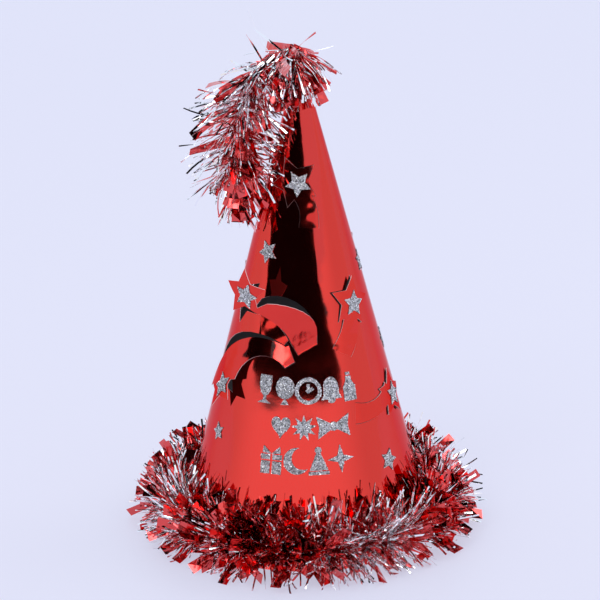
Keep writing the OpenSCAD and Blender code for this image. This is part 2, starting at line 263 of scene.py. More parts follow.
def inside(points, loops):
    """Even-odd test against all loops at once."""
    hits = np.zeros(len(points), int)
    x, y = points[:, 0], points[:, 1]
    for loop in loops:
        nxt = np.roll(loop, -1, axis=0)
        for (x1, y1), (x2, y2) in zip(loop, nxt):
            if y1 == y2:
                continue
            cross = (y1 > y) != (y2 > y)
            hits += cross & (x < (x2 - x1) * (y - y1) / (y2 - y1) + x1)
    return hits % 2 == 1


def triangulate(points, rims):
    """Triangles over points, which begin with the rims laid end to end."""
    edges, base = [], 0
    for rim in rims:
        n = len(rim)
        edges += [(base + i, base + (i + 1) % n) for i in range(n)]
        base += n
    out = delaunay_2d_cdt([Vector(p) for p in points.tolist()], edges, [], 0, 1e-6)
    return np.array([tuple(v) for v in out[0]]), np.array(out[2], int)


def anticlockwise(q, tris):
    a, b, c = q[tris[:, 0]], q[tris[:, 1]], q[tris[:, 2]]
    area = (b[:, 0] - a[:, 0]) * (c[:, 1] - a[:, 1]) - (b[:, 1] - a[:, 1]) * (c[:, 0] - a[:, 0])
    tris[area < 0] = tris[area < 0][:, ::-1]
    return tris


def panel(name, loops, spacing, place, thick, mats):
    """A piece of card from loops in the flat pattern: its outline and any holes.
    place(q, lift) puts it in space. mats are its front, its back and its cut edge."""
    rims = [resample(loop, spacing * RIM_STEP) for loop in loops]
    edge_points = np.concatenate(rims)
    low, high = edge_points.min(0), edge_points.max(0)
    rows = np.arange(low[1], high[1], spacing * ROW_STEP)
    grid = np.array([(x + (spacing / 2 if i % 2 else 0), y)
                     for i, y in enumerate(rows) for x in np.arange(low[0], high[0], spacing)])
    grid = grid[inside(grid, rims)]
    keep = np.ones(len(grid), bool)
    for start in range(0, len(edge_points), BATCH):
        part = edge_points[start:start + BATCH]
        gap = np.hypot(grid[:, None, 0] - part[None, :, 0], grid[:, None, 1] - part[None, :, 1])
        keep &= gap.min(1) > spacing / 2
    q, tris = triangulate(np.concatenate([edge_points, grid[keep]]), rims)
    tris = tris[inside(q[tris].mean(1), rims)]
    used, tris = np.unique(tris, return_inverse=True)
    q = q[used]
    tris = anticlockwise(q, tris.reshape(-1, 3))
    top, bottom = place(q, 0.0), place(q, -thick)
    near = 0.01
    dx = place(q + [near, 0], 0.0) - place(q - [near, 0], 0.0)
    dy = place(q + [0, near], 0.0) - place(q - [0, near], 0.0)
    normal = np.cross(dx, dy)
    normal /= np.linalg.norm(normal, axis=1)[:, None]
    n = len(q)
    half_edges = {}
    for t in tris:
        for i in range(3):
            half_edges[(t[i], t[(i + 1) % 3])] = True
    rim_edges = [(i, j) for i, j in half_edges if (j, i) not in half_edges]
    faces = ([tuple(t) for t in tris] + [tuple(t[::-1] + n) for t in tris]
             + [(j, i, i + n, j + n) for i, j in rim_edges])
    which = [0] * len(tris) + [1] * len(tris) + [2] * len(rim_edges)
    o = mesh_object(name, np.concatenate([top, bottom]), faces, mats, which, True)
    me = o.data
    # front and back get the card's own smooth normals, and its cut edge stays sharp
    split = []
    for k, p in enumerate(me.polygons):
        for v in p.vertices:
            if k < len(tris):
                split.append(normal[v])
            elif k < 2 * len(tris):
                split.append(-normal[v - n])
            else:
                split.append(np.array(p.normal))
    me.normals_split_custom_set([tuple(v) for v in split])
    return o


# ---- outlines of the die cuts ----------------------------------------------------------------

def star_outline(c, r, rot, inner, grow=0.0):
    """A five-pointed star. Its points move out further than its sides when it grows."""
    turn = [math.radians(rot + 36 * i) for i in range(10)]
    far = [r + 2.2 * grow if i % 2 == 0 else r * inner + 1.2 * grow for i in range(10)]
    return [(c[0] + d * math.sin(a), c[1] + d * math.cos(a)) for a, d in zip(turn, far)]


def arc(c, r, start, end, steps=9):
    """Points along an arc, its ends in degrees."""
    turn = [math.radians(start + (end - start) * i / steps) for i in range(steps + 1)]
    return [(c[0] + r * math.cos(a), c[1] + r * math.sin(a)) for a in turn]


def root_ends(ends, point, direction, past):
    """The two ends of a root edge, moved onto the crease line, or a little past it."""
    e = np.array([math.cos(math.radians(direction)), math.sin(math.radians(direction))])
    n = np.array([-e[1], e[0]])
    return [tuple(np.array(point) + ((np.array(q) - point) @ e) * e + past * n) for q in ends]


# home and the points are as to_flat takes them. An arc is centre, radius, start, end and, where
# the cut along it is wider than one kerf, how many kerfs it is wide.
Flap = namedtuple("Flap", "home star star_turn far side near crease root hinge angle bend "
                          "glitter_offset glitter_turn")
FLAPS = {
    "crown_flap": Flap(
        home=(-12.8, 213), star=(0, 0), star_turn=-24,
        far=((-14.4, -23.4), 29.5, 55, -1), side=[], near=((-12, -20.3), 16.5, 65, -13),
        crease=(9.3, -25.4), root=0, hinge=0, angle=2, bend=5,
        glitter_offset=(2.4, -1), glitter_turn=-33),
    "left_flap": Flap(
        home=(-40, 120), star=(-14.5, 26.5), star_turn=-25,
        far=((12.2, 7.7), 24.1, 120, 4), side=[], near=((-1.8, -7.3), 27.4, 100, 34),
        crease=(33, 5.6), root=41, hinge=41, angle=41, bend=5,
        glitter_offset=(1.5, -0.8), glitter_turn=-8),
    "low_left_flap": Flap(
        home=(-40, 120), star=(-24, -18.2), star_turn=-10,
        far=((0.2, -40.2), 48.7, 152, 68), side=[(20.3, 6.6), (25.3, -2.3)],
        near=((7.6, -20.9), 19, 166, 46, 2),
        crease=(26.2, -3.4), root=40, hinge=169, angle=18, bend=0,
        glitter_offset=(2, -1), glitter_turn=-12),
    "right_flap": Flap(
        home=(46, 145), star=(0, -0.5), star_turn=14.5,
        far=((-25.5, -10.1), 27.4, 20, -48), side=[], near=((-42.4, 5.3), 37.5, -5, -47.5),
        crease=(-13, -27.4), root=-36, hinge=-36, angle=4, bend=5,
        glitter_offset=(1.2, -1.6), glitter_turn=12),
    "side_flap": Flap(
        home=(70, 84), star=(0.6, 2), star_turn=9,
        far=((-23.4, 41.4), 46.4, -62, -104.5), side=[],
        near=((-19.8, 28.3), 23.7, -50, -119.5),
        crease=(-34.6, 2.6), root=-108, hinge=-108, angle=2.5, bend=5,
        glitter_offset=(1, -1), glitter_turn=12),
    "back_right_flap": Flap(
        home=(128, 168), star=(0, 0), star_turn=15.5,
        far=((-25.5, -10.1), 27.4, 20, -48), side=[], near=((-42.4, 5.3), 37.5, -5, -47.5),
        crease=(-13, -27.4), root=-36, hinge=-36, angle=2.5, bend=5,
        glitter_offset=(1, -1.2), glitter_turn=12),
    "back_left_flap": Flap(
        home=(-124, 150), star=(0, 0), star_turn=-24,
        far=((-14.4, -23.4), 29.5, 55, -1), side=[], near=((-12, -20.3), 16.5, 65, -13),
        crease=(9.3, -25.4), root=0, hinge=0, angle=2.5, bend=5,
        glitter_offset=(1.4, -1), glitter_turn=-20),
}
Tongue = namedtuple("Tongue", "home crease root angle bend")
TONGUE = Tongue(home=(-40, 120), crease=(1.9, 13.5), root=-77, angle=3, bend=4)
SIDE_OUT = np.array([0.55, 0.95])              # out of the low left flap's straight side
OUTLINE_STEP, SPECK = 0.8, 8                   # loops of up to 8 points are left out


def lead(a, grow):
    """The hole's arcs begin a little further back than the flap's."""
    return a[2] + math.copysign(2 * grow / a[1] * 180 / math.pi, a[2] - a[3])


def tail_outline(f, grow, past):
    """The tail between a flap's star and its root, grown by the kerf for its hole."""
    far = (arc(f.far[0], f.far[1] + grow, lead(f.far, grow), f.far[3])
           + [tuple(np.array(q) - (KERF - grow) * SIDE_OUT) for q in f.side])
    kerfs = f.near[4] if len(f.near) > 4 else 1
    near = arc(f.near[0], f.near[1] - kerfs * grow, f.near[3], lead(f.near, grow))
    return far + root_ends([far[-1], near[0]], f.crease, f.root, past) + near


def tongue_outline(grow, past):
    """The tongue between the two left flaps: it runs along their cuts to its free end."""
    above, below = FLAPS["left_flap"].near, FLAPS["low_left_flap"].far
    top = arc(above[0], above[1] - KERF + grow, 80, 35)
    low = arc(below[0], below[1] + KERF - grow, 70, 86)
    return top + [(18.4 + grow, 5.2)] + low + root_ends([low[-1], top[0]], TONGUE.crease,
                                                        TONGUE.root, past)


def joined(loops):
    """The outlines of closed loops laid over each other, one for each group that touches."""
    rims = [resample(loop, OUTLINE_STEP) for loop in loops]
    q, tris = triangulate(np.concatenate(rims), rims)
    middle = q[tris].mean(1)
    keep = np.zeros(len(tris), bool)
    for rim in rims:
        keep |= inside(middle, [rim])
    half = set()
    for t in anticlockwise(q, tris[keep]):
        half.update((int(t[i]), int(t[(i + 1) % 3])) for i in range(3))
    # an edge that has no triangle on its other side is on the outline
    ways = {}
    for i, j in sorted(half):
        if (j, i) not in half:
            ways.setdefault(i, []).append(j)
    outlines = []
    while ways:
        start = i = min(ways)
        loop = []
        while True:
            loop.append(i)
            follow = ways[i].pop()
            if not ways[i]:
                del ways[i]
            i = follow
            if i == start:
                break
        if len(loop) > SPECK:
            outlines.append(q[loop])
    return outlines


def crease_line(home, point, direction):
    """Where a crease is in space: a point of it and the way it runs."""
    q = to_flat([point], home)
    az = float(from_flat(q)[0][0])
    spin = math.radians(direction) + (math.radians(home[0]) - az) * TURN
    e1 = np.array([math.cos(az), math.sin(az), 0.0])
    e2 = np.array([-math.sin(HALF) * math.sin(az), math.sin(HALF) * math.cos(az),
                   math.cos(HALF)])
    axis = math.cos(spin) * e1 + math.sin(spin) * e2
    return on_cone(q, 0.0)[0], axis


rng = np.random.default_rng(7)

FLAKES_PER_MM2, FLAKE_R, FLAKE_T = 3.4, (0.2, 0.38), 0.06
FLAKE_TILT, FLAKE_RISE = 0.38, 0.09        # how far flakes lean, and stand off their bed
FLAKE_SHARES = (0.63, 0.20, 0.17)          # bright, grey and dark: painted glint and painted dark reflection, as glitter shows at angles


def flakes(name, bed, body):
    """Loose glitter lying at all angles on the bed's outer side, as thin hexagons."""
    me = bed.data
    me.calc_loop_triangles()
    co = np.array([v.co for v in me.vertices]) / MM
    tri = np.array([t.vertices for t in me.loop_triangles])
    a, b, c = co[tri[:, 0]], co[tri[:, 1]], co[tri[:, 2]]
    cross = np.cross(b - a, c - a)
    area = np.linalg.norm(cross, axis=1) / 2
    unit = cross / (2 * area[:, None] + 1e-12)
    centre = co.mean(0)
    out = normal_at(np.array(math.atan2(centre[0], -centre[1])))
    ok = (unit @ out > 0.6) & (area > 1e-6)
    a, b, c, unit, area = a[ok], b[ok], c[ok], unit[ok], area[ok]
    count = int(area.sum() * FLAKES_PER_MM2)
    pick = rng.choice(len(area), count, p=area / area.sum())
    u, v = rng.random(count), rng.random(count)
    flip = u + v > 1
    u[flip], v[flip] = 1 - u[flip], 1 - v[flip]
    at = a[pick] + (b[pick] - a[pick]) * u[:, None] + (c[pick] - a[pick]) * v[:, None]
    n = unit[pick] + rng.normal(0, FLAKE_TILT, (count, 3))
    n /= np.linalg.norm(n, axis=1)[:, None]
    s = np.cross(n, rng.normal(0, 1, (count, 3)))
    s /= np.linalg.norm(s, axis=1)[:, None]
    t = np.cross(n, s)
    size = rng.uniform(*FLAKE_R, count)
    at = at + unit[pick] * rng.uniform(0.0, FLAKE_RISE, count)[:, None]
    ring = [at + size[:, None] * (math.cos(k * math.pi / 3) * s + math.sin(k * math.pi / 3) * t)
            for k in range(6)]
    verts = np.stack(ring + [at + n * FLAKE_T / 2, at - n * FLAKE_T / 2], 1).reshape(-1, 3)
    one = ([(k, (k + 1) % 6, 6) for k in range(6)] + [((k + 1) % 6, k, 7) for k in range(6)])
    faces = (np.array(one)[None] + 8 * np.arange(count)[:, None, None]).reshape(-1, 3)
    which = np.repeat(rng.choice(3, count, p=FLAKE_SHARES), len(one))
    o = mesh_object(name + "_flakes", verts, faces, FLAKES, which)
    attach(o, body)


GLITTER_T = 0.35
BENT_ROOT_GAP = 0.02


def glitter_bed(name, outline, body, place):
    # a little thinner than its place, so that it doesn't share the card's plane
    o = panel(name + "_bed", [outline], BED_GRID, place, GLITTER_T * 0.97, [GLITTER] * 3)
    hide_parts(name)
    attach(o, body)
    flakes(name, o, body)


def flap_piece(name, loops, home, point, hinge, angle, bend, star=None):
    """The card of a flap, swung open about its hinge and curved over bend from its root.
    star is the outline of its glitter star, which gets a bed of its own."""
    where, axis = crease_line(home, point, hinge)
    a = math.radians(angle)
    up = normal_at(np.array(math.atan2(where[0], -where[1])))
    out = np.cross(up, axis)

    def place(q, lift):
        flat = on_cone(q, lift)
        if not bend:
            return turn_about(flat, where, axis, np.full(len(q), a))
        v = flat - where
        far, high = v @ out, v @ up
        t = a * np.clip(far / bend, 0, 1)
        past = np.maximum(far - bend, 0)
        round_r = bend / a
        far = (np.where(far < 0, far, round_r * np.sin(t) + past * math.cos(a))
               - high * np.sin(t))
        high = round_r * (1 - np.cos(t)) + past * math.sin(a) + high * np.cos(t)
        return (where + (v @ axis)[:, None] * axis + far[:, None] * out
                + high[:, None] * up)

    o = panel(name + "_card", loops, FLAP_GRID, place, CARD, [FLAP_FOIL, CARD_BACK_PAINTED_SHADE, CARD_EDGE])
    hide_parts(name)
    if bend:
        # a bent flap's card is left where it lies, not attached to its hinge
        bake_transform(o)
    else:
        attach(o, name)
    if star is not None:
        glitter_bed(name.replace("_flap", "_star"), star, name,
                    lambda q, lift: place(q, lift + GLITTER_T))


holes = []
for name, f in FLAPS.items():
    # a flap that bends meets the wall at its root, and a rigid one turns clear of it
    root_gap = BENT_ROOT_GAP if f.bend else 2 * KERF
    cut = joined([to_flat(star_outline(f.star, STAR_R, f.star_turn, STAR_IN, KERF), f.home),
                  to_flat(tail_outline(f, KERF, 0.0), f.home)])
    own = joined([to_flat(star_outline(f.star, STAR_R, f.star_turn, STAR_IN), f.home),
                  to_flat(tail_outline(f, 0.0, root_gap), f.home)])
    holes.append(cut[0])
    star = star_outline(np.array(f.star) + f.glitter_offset, GLITTER_STAR_R, f.glitter_turn,
                        GLITTER_STAR_IN)
    flap_piece(name, own, f.home, f.crease, f.hinge, f.angle, f.bend, to_flat(star, f.home))
holes.append(to_flat(tongue_outline(KERF, 0.0), TONGUE.home))
flap_piece("left_tongue", [to_flat(tongue_outline(0.0, BENT_ROOT_GAP), TONGUE.home)],
           TONGUE.home, TONGUE.crease, TONGUE.root, TONGUE.angle, TONGUE.bend)


# ---- the cone wall -----------------------------------------------------------------------

def sector_loop(start, end, top_z, low_steps, top_steps):
    """The outline of the card between two turns of the pattern, from brim to top_z."""
    near = (CONE_H - top_z) / CONE_H * SLANT
    low = [(SLANT * math.sin(a), -SLANT * math.cos(a))
           for a in np.linspace(start, end, low_steps)]
    top = [(near * math.sin(a), -near * math.cos(a))
           for a in np.linspace(end, start, top_steps)]
    return low + top


holes = joined(holes)
outline = sector_loop(-math.pi * TURN, math.pi * TURN, TIP_Z, 200, 24)
wall = panel("cone_wall", [outline] + holes, WALL_GRID, on_cone, CARD, [FOIL, CARD_BACK_PAINTED_SHADE, CARD_EDGE])
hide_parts("cone_shell")
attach(wall, "hat")

# the overlapping edge at the back: it steps up onto the tape and ends in a free edge
SEAM_W, TAPE_T, SEAM_TOP = 14.0, 0.15, CONE_H - 14
LAP_STEEP = 6                      # it steps up in one sixth of its width
LAP_CLEAR = 0.02
lap_half = SEAM_W / BRIM_R / 2


def lap_place(q, lift):
    az, z = from_flat(q)
    from_edge = (lap_half - (np.pi - az)) / (2 * lap_half)
    rise = np.clip(from_edge * LAP_STEEP, 0, 1)
    rise = (TAPE_T + CARD) * rise * rise * (3 - 2 * rise)
    r = wall_r(z)
    return (np.stack([r * np.sin(az), -r * np.cos(az), z], -1)
            + (rise + lift + LAP_CLEAR)[..., None] * normal_at(az))


outline = sector_loop((math.pi - lap_half) * TURN, (math.pi + lap_half) * TURN, SEAM_TOP, 8, 8)
lap = panel("seam_lap", [outline], WALL_GRID, lap_place, CARD, [FOIL, CARD_BACK_PAINTED_SHADE, CARD_EDGE])
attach(lap, "hat")


# ---- glitter: the CAD bed with loose flakes on it ---------------------------------------------

def recolour(name, mat):
    """A CAD node shown as it is, in the material given."""
    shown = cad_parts[name]
    shown.data.materials.clear()
    shown.data.materials.append(mat)
    return shown


for n in sorted(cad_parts):
    if n.startswith(("motif", "loose_star")):
        flakes(n, recolour(n, GLITTER), "hat")


# ---- wires, glue, tape --------------------------------------------------------------------

def smooth_route(points, count, between=24):
    """A smooth line through points as count even stations, and its length."""
    p = np.array(points, float)
    p = np.vstack([2 * p[0] - p[1], p, 2 * p[-1] - p[-2]])
    fine = []
    for i in range(1, len(p) - 2):
        t = np.linspace(0, 1, between, endpoint=False)[:, None]
        a, b, c, d = p[i - 1], p[i], p[i + 1], p[i + 2]
        fine.append(0.5 * (2 * b + (c - a) * t + (2 * a - 5 * b + 4 * c - d) * t ** 2
                           + (3 * b - a - 3 * c + d) * t ** 3))
    fine = np.vstack(fine + [p[-2][None]])
    run = np.concatenate([[0], np.cumsum(np.linalg.norm(np.diff(fine, axis=0), axis=1))])
    at = np.linspace(0, run[-1], count)
    return np.stack([np.interp(at, run, fine[:, k]) for k in range(3)], 1), run[-1]


def frames_along(line, closed=False):
    """At each point of a line: the way it runs, and two ways across it."""
    if closed:
        t = np.roll(line, -1, 0) - np.roll(line, 1, 0)
    else:
        t = np.gradient(line, axis=0)
    t /= np.linalg.norm(t, axis=1)[:, None]
    ref = np.array([0.0, 1.0, 0.0]) if not closed else np.array([0.0, 0.0, 1.0])
    s = np.cross(t, ref)
    s /= np.linalg.norm(s, axis=1)[:, None]
    return t, s, np.cross(s, t)


def tube(line, radius, closed, sides=6):
    """A round wire along a line: its vertices and faces."""
    _, s, u = frames_along(line, closed)
    turn = np.arange(sides) * 2 * math.pi / sides
    v = (line[:, None] + radius * (np.cos(turn)[None, :, None] * s[:, None]
                                   + np.sin(turn)[None, :, None] * u[:, None]))
    n = len(line)
    i = np.arange(n if closed else n - 1)[:, None]
    k = np.arange(sides)[None]
    j, l = (i + 1) % n, (k + 1) % sides
    quads = np.stack([i * sides + k, i * sides + l, j * sides + l, j * sides + k],
                     -1).reshape(-1, 4)
    faces = quads.tolist()
    if not closed:
        faces += [list(range(sides))[::-1], [(n - 1) * sides + q for q in range(sides)]]
    return v.reshape(-1, 3), faces


def twisted(name, line, radius, pitch, length, closed):
    """Two thin wires twisted round a line."""
    _, s, u = frames_along(line, closed)
    turns = round(length / pitch)
    a = np.linspace(0, 2 * math.pi * turns, len(line), endpoint=not closed)[:, None]
    verts, faces = [], []
    for side in (0.0, math.pi):
        strand = line + radius * (np.cos(a + side) * s + np.sin(a + side) * u)
        v, f = tube(strand, radius, closed)
        faces += [[i + len(verts) for i in q] for q in f]
        verts += v.tolist()
    return mesh_object(name, np.array(verts), faces, [STEEL], np.zeros(len(faces)), True)


GARLAND_R, GARLAND_Z, WIRE_R, PITCH = 74.4, 12.0, 0.6, 4.5
RING_STATIONS, STEM_STATIONS = 1100, 300
ring_turn = np.linspace(0, 2 * math.pi, RING_STATIONS, endpoint=False)
ring_line = np.stack([GARLAND_R * np.sin(ring_turn), -GARLAND_R * np.cos(ring_turn),
                      np.full_like(ring_turn, GARLAND_Z)], 1)
garland = twisted("garland_wire", ring_line, WIRE_R / 2, PITCH, 2 * math.pi * GARLAND_R, True)
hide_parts("brim_wire")
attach(garland, "hat")

ROUTE = [(0, 0, 284), (-6, -1, 285), (-13, -2, 283), (-20, -3, 278), (-26, -4, 271),
         (-31, -5, 262), (-34, -6, 252), (-36, -6, 241), (-37, -6, 230), (-37, -6, 219),
         (-36, -6, 210)]
route, route_length = smooth_route(ROUTE, STEM_STATIONS)
stem = twisted("topper_twist", route, WIRE_R / 2, PITCH, route_length, False)
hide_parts("topper_wire")
# metres: two points at the tip of the wire; nothing is bent or placed by them
TIP, TIP_END = (0.003, 0, 0.282), (-0.015, 0, 0.282)
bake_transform(stem)
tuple(TIP)
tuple(TIP_END)


def blob(centre, size, seed, rings=10, sides=16):
    """A lumpy ball of glue."""
    r = np.random.default_rng(seed)
    bumps = r.normal(0, 1, (4, 3))
    verts = []
    for i in range(rings + 1):
        for k in range(sides):
            a, b = math.pi * i / rings, 2 * math.pi * k / sides
            d = np.array([math.sin(a) * math.cos(b), math.sin(a) * math.sin(b), math.cos(a)])
            swell = 1 + 0.08 * sum(math.sin(3 * d @ w) for w in bumps)
            verts.append(centre + d * size * swell)
    faces = [(i * sides + k, (i + 1) * sides + k, (i + 1) * sides + (k + 1) % sides,
              i * sides + (k + 1) % sides) for i in range(rings) for k in range(sides)]
    return np.array(verts), faces


DABS, DAB_RING_R, DAB_SIZE = 10, 73.2, np.array([1.7, 1.7, 2.2])
verts, faces = [], []
for i in range(DABS):
    a = (i + 0.5) * 2 * math.pi / DABS
    at = np.array([math.cos(a) * DAB_RING_R, math.sin(a) * DAB_RING_R, GARLAND_Z])
    v, f = blob(at, DAB_SIZE, i)
    faces += [tuple(j + len(verts) for j in q) for q in f]
    verts += v.tolist()
dabs = mesh_object("glue_dabs", np.array(verts), faces, [GLUE], np.zeros(len(faces)), True)
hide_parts("brim_glue_dabs")
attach(dabs, "hat")
recolour("tip_plug", GLUE)
recolour("seam_tape", TAPE)


# ---- tinsel ---------------------------------------------------------------------------------

FLOOR_Z = 0.25                     # a strip's middle stays above this, its edges above LOWEST_Z
LOWEST_Z = 0.1
FILM_T = 0.09
BROAD = 3.0                        # strips wider than this are the red, crinkled ones
BRIM_DROOP, TOPPER_DROOP = 0.12, 0.45
TURNED, CRINKLED = 1.6, 0.7        # how far thin and broad strips twist, in radians
CURL_RUN = 30
OVER_TIP = 6                       # strips this far above the tip are free of the card
ON_CORE = (0.3, 1.2)               # how far past the garland's core line strips start
# clumps: how many, how far each spreads, and the share of strips that are in one
BRIM_CLUMPS, TOPPER_CLUMPS = (130, 0.006, 0.6), (40, 0.02, 0.5)
BRIM_RISE, BRIM_LEAN = (-30, 103), 0.30    # degrees up from level, and how far they lean along
CLUMP_SHARES = (0.8, 1.0)          # what part of its length a clump's strips have
LEVEL, CUT_SHARE = 0.15, 0.9       # strips that rise less than LEVEL have this part of theirs


def keep_out(p, clear):
    """Pushes points off the cone and off the table."""
    p = p.copy()
    r = np.hypot(p[:, 0], p[:, 1])
    gap = (r - wall_r(p[:, 2])) * math.cos(HALF) - clear
    below = (gap < 0) & (p[:, 2] < CONE_H + OVER_TIP)
    az = np.arctan2(p[:, 0], -p[:, 1])
    p[below] -= gap[below, None] * normal_at(az[below])
    p[:, 2] = np.maximum(p[:, 2], FLOOR_Z + clear / 5)
    return p


def lines(root, aim, length, stations, curl, droop, clear):
    """Centre lines that start at root, run along aim, and bend: curl at random and droop
    downward, both as the turn of the unit direction over CURL_RUN."""
    step = (length / (stations - 1))[:, None]
    bend = rng.normal(0, 1, aim.shape) * curl
    p, d, out = root, aim / np.linalg.norm(aim, axis=1)[:, None], [root]
    for _ in range(stations - 1):
        d = d + bend * step / CURL_RUN + np.array([0, 0, -droop]) * step / CURL_RUN
        d /= np.linalg.norm(d, axis=1)[:, None]
        new = keep_out(p + d * step, clear)
        d = new - p
        long = np.linalg.norm(d, axis=1)[:, None]
        d = d / np.maximum(long, 1e-6)
        new = p + d * np.minimum(long, step)
        p = keep_out(new, clear / 2)
        out.append(p)
    return np.stack(out, 1)


def ribbons(line, width, twist, kinks=None):
    """Closed flat strips along lines (count x stations x 3)."""
    count, n, _ = line.shape
    t = np.gradient(line, axis=1)
    t /= np.linalg.norm(t, axis=2)[:, :, None] + 1e-9
    side = np.cross(t[:, 0], rng.normal(0, 1, (count, 3)))
    side /= np.linalg.norm(side, axis=1)[:, None]
    sides = []
    for k in range(n):
        side = side - (side * t[:, k]).sum(1)[:, None] * t[:, k]
        side /= np.linalg.norm(side, axis=1)[:, None]
        a = twist * k / (n - 1)
        sides.append(side * np.cos(a)[:, None] + np.cross(t[:, k], side) * np.sin(a)[:, None])
    s = np.stack(sides, 1)
    up = np.cross(t, s)
    w, h = width[:, None, None] / 2 * np.ones((1, n, 1)), FILM_T / 2
    if kinks is not None:
        line = line + up * kinks[:, :, None]
    v = np.stack([line - s * w - up * h, line + s * w - up * h, line + s * w + up * h,
                  line - s * w + up * h], 2)
    i = np.arange(n - 1)[:, None] * 4
    k = np.arange(4)[None]
    l = (k + 1) % 4
    quads = np.stack([i + k, i + l, i + 4 + l, i + 4 + k], -1).reshape(-1, 4)
    quads = np.vstack([quads, [[3, 2, 1, 0]], (n - 1) * 4 + np.array([[0, 1, 2, 3]])])
    faces = (quads[None] + 4 * n * np.arange(count)[:, None, None]).reshape(-1, 4)
    return v.reshape(-1, 3), faces


def strip_piece(name, line, wide, mat, crinkle):
    """Strips along lines. wide is the range of their widths; broad ones crinkle."""
    count, stations, _ = line.shape
    broad = wide[1] > BROAD
    kinks = rng.normal(0, crinkle, (count, stations)) if broad else None
    width = rng.uniform(*wide, count)
    twist = rng.normal(0, CRINKLED if broad else TURNED, count)
    v, f = ribbons(line, width, twist, kinks)
    v[:, 2] = np.maximum(v[:, 2], LOWEST_Z)
    o = mesh_object(name, v, f, [mat], np.zeros(len(f)))
    return o


def clumped(count, spots, spread, share):
    """Places from 0 to 1, most of them gathered at some spots, and each one's spot."""
    centres = rng.random(spots)
    pick = rng.integers(0, spots, count)
    loose = rng.random(count) > share
    at = centres[pick] + rng.normal(0, spread, count)
    at[loose] = rng.random(loose.sum())
    return at, pick


def garland_roots(count):
    """Where strips start round the brim, which way they point, and their share of length."""
    spots = BRIM_CLUMPS[0]
    at, pick = clumped(count, *BRIM_CLUMPS)
    turn = at * 2 * math.pi
    out = np.stack([np.sin(turn), -np.cos(turn), np.zeros(count)], 1)
    along = np.stack([np.cos(turn), np.sin(turn), np.zeros(count)], 1)
    root = out * (GARLAND_R + rng.uniform(*ON_CORE, count))[:, None]
    root[:, 2] = GARLAND_Z + rng.uniform(-1, 1, count)
    # they fan from a little below level to past upright, and each clump leans its own way
    rise = np.radians(rng.uniform(*BRIM_RISE, count))
    lean = rng.normal(0, BRIM_LEAN, spots)[pick] + rng.normal(0, BRIM_LEAN, count)
    aim = (out * np.cos(rise)[:, None] + np.array([0, 0, 1.0]) * np.sin(rise)[:, None]
           + along * lean[:, None])
    return root, aim, rng.uniform(*CLUMP_SHARES, spots)[pick]


def clearance(wide):
    """How far a strip's middle stays off the card, for a range of widths."""
    return 0.5 + wide[1] * 0.25


def brim_strips(name, count, wide, mat, stations, length, curl):
    root, aim, share = garland_roots(count)
    # strips that start near level or below are a little shorter, cut off by the table
    cut = np.where(aim[:, 2] < LEVEL, CUT_SHARE, 1.0)
    long = rng.uniform(*length, count) * share * cut
    line = lines(root, aim, long, stations, curl, BRIM_DROOP, clearance(wide))
    o = strip_piece(name, line, wide, mat, 0.4)
    if name == "brim_red_1":
        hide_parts("brim_tinsel")
    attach(o, "hat")


# name, how many, widths, film, points along each, lengths, curl
brim_strips("brim_red_1", 330, (0.9, 1.3), RED_FILM, 7, (18, 30), 0.5)
brim_strips("brim_silver_1", 2050, (0.9, 1.2), SILVER_FILM, 7, (26, 38), 0.32)
brim_strips("brim_wide_1", 430, (5.4, 7.4), RED_FILM, 5, (28, 37), 0.35)


# at the tip: the share of strips tied on there, over how much of the wire, and the turn round
# the tip and the fall that they point with
TIP_SHARE, TIP_RUN, TIP_TURN, TIP_FALL = 0.26, 0.09, (-0.9, 2.9), (-2.4, -0.2)
FAR_END = 0.93                     # from this share of the wire on, strips point along it
FRONT_SHARE = 0.35                 # of the broad strips that face the front
HANG_SHARE, HANG = 0.93, -0.6      # of the rising strips, those turned down, and by how much
OFF_WIRE = 0.5


def topper_roots(count, broad):
    """Where strips start along the topper's wire, and which way they point."""
    spots = TOPPER_CLUMPS[0]
    at, pick = clumped(count, *TOPPER_CLUMPS)
    s = np.clip(at, 0.0, 1.0)
    # a good part is tied on at the tip and hangs down over the card
    tip = rng.random(count) < TIP_SHARE
    s[tip] = rng.uniform(0.0, TIP_RUN, tip.sum())
    i = (s * (len(route) - 1)).astype(int)
    t, a, b = frames_along(route)
    turn = rng.uniform(0, 2 * math.pi, count)
    aim = (a[i] * np.cos(turn)[:, None] + b[i] * np.sin(turn)[:, None]
           + t[i] * (rng.normal(0.1, 0.25, spots)[pick] + rng.normal(0, 0.3, count))[:, None])
    # at the wire's far end they point on along it
    end = s > FAR_END
    aim[end] = t[i[end]] + aim[end] * 0.5
    round_tip = rng.uniform(*TIP_TURN, tip.sum())
    aim[tip] = np.stack([np.sin(round_tip), -np.cos(round_tip),
                         rng.uniform(*TIP_FALL, tip.sum())], 1)
    if broad:
        front = ~tip & (rng.random(count) < FRONT_SHARE)
        aim[front] = np.stack([rng.uniform(0.1, 0.9, front.sum()), -0.7 * np.ones(front.sum()),
                               rng.uniform(-1.6, -0.5, front.sum())], 1)
    # few strips stay up: the bunch hangs
    fall = (aim[:, 2] > 0.1) & (rng.random(count) < HANG_SHARE)
    aim[fall, 2] *= HANG
    return route[i] + aim * OFF_WIRE, aim


def topper_strips(name, count, wide, mat, stations, length, curl):
    root, aim = topper_roots(count, wide[1] > BROAD)
    long = rng.uniform(*length, count)
    line = lines(root, aim, long, stations, curl, TOPPER_DROOP, clearance(wide))
    o = strip_piece(name, line, wide, mat, 0.35)
    if name == "topper_red":
        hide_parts("topper_tinsel")
    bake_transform(o)
    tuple(TIP)
    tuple(TIP_END)


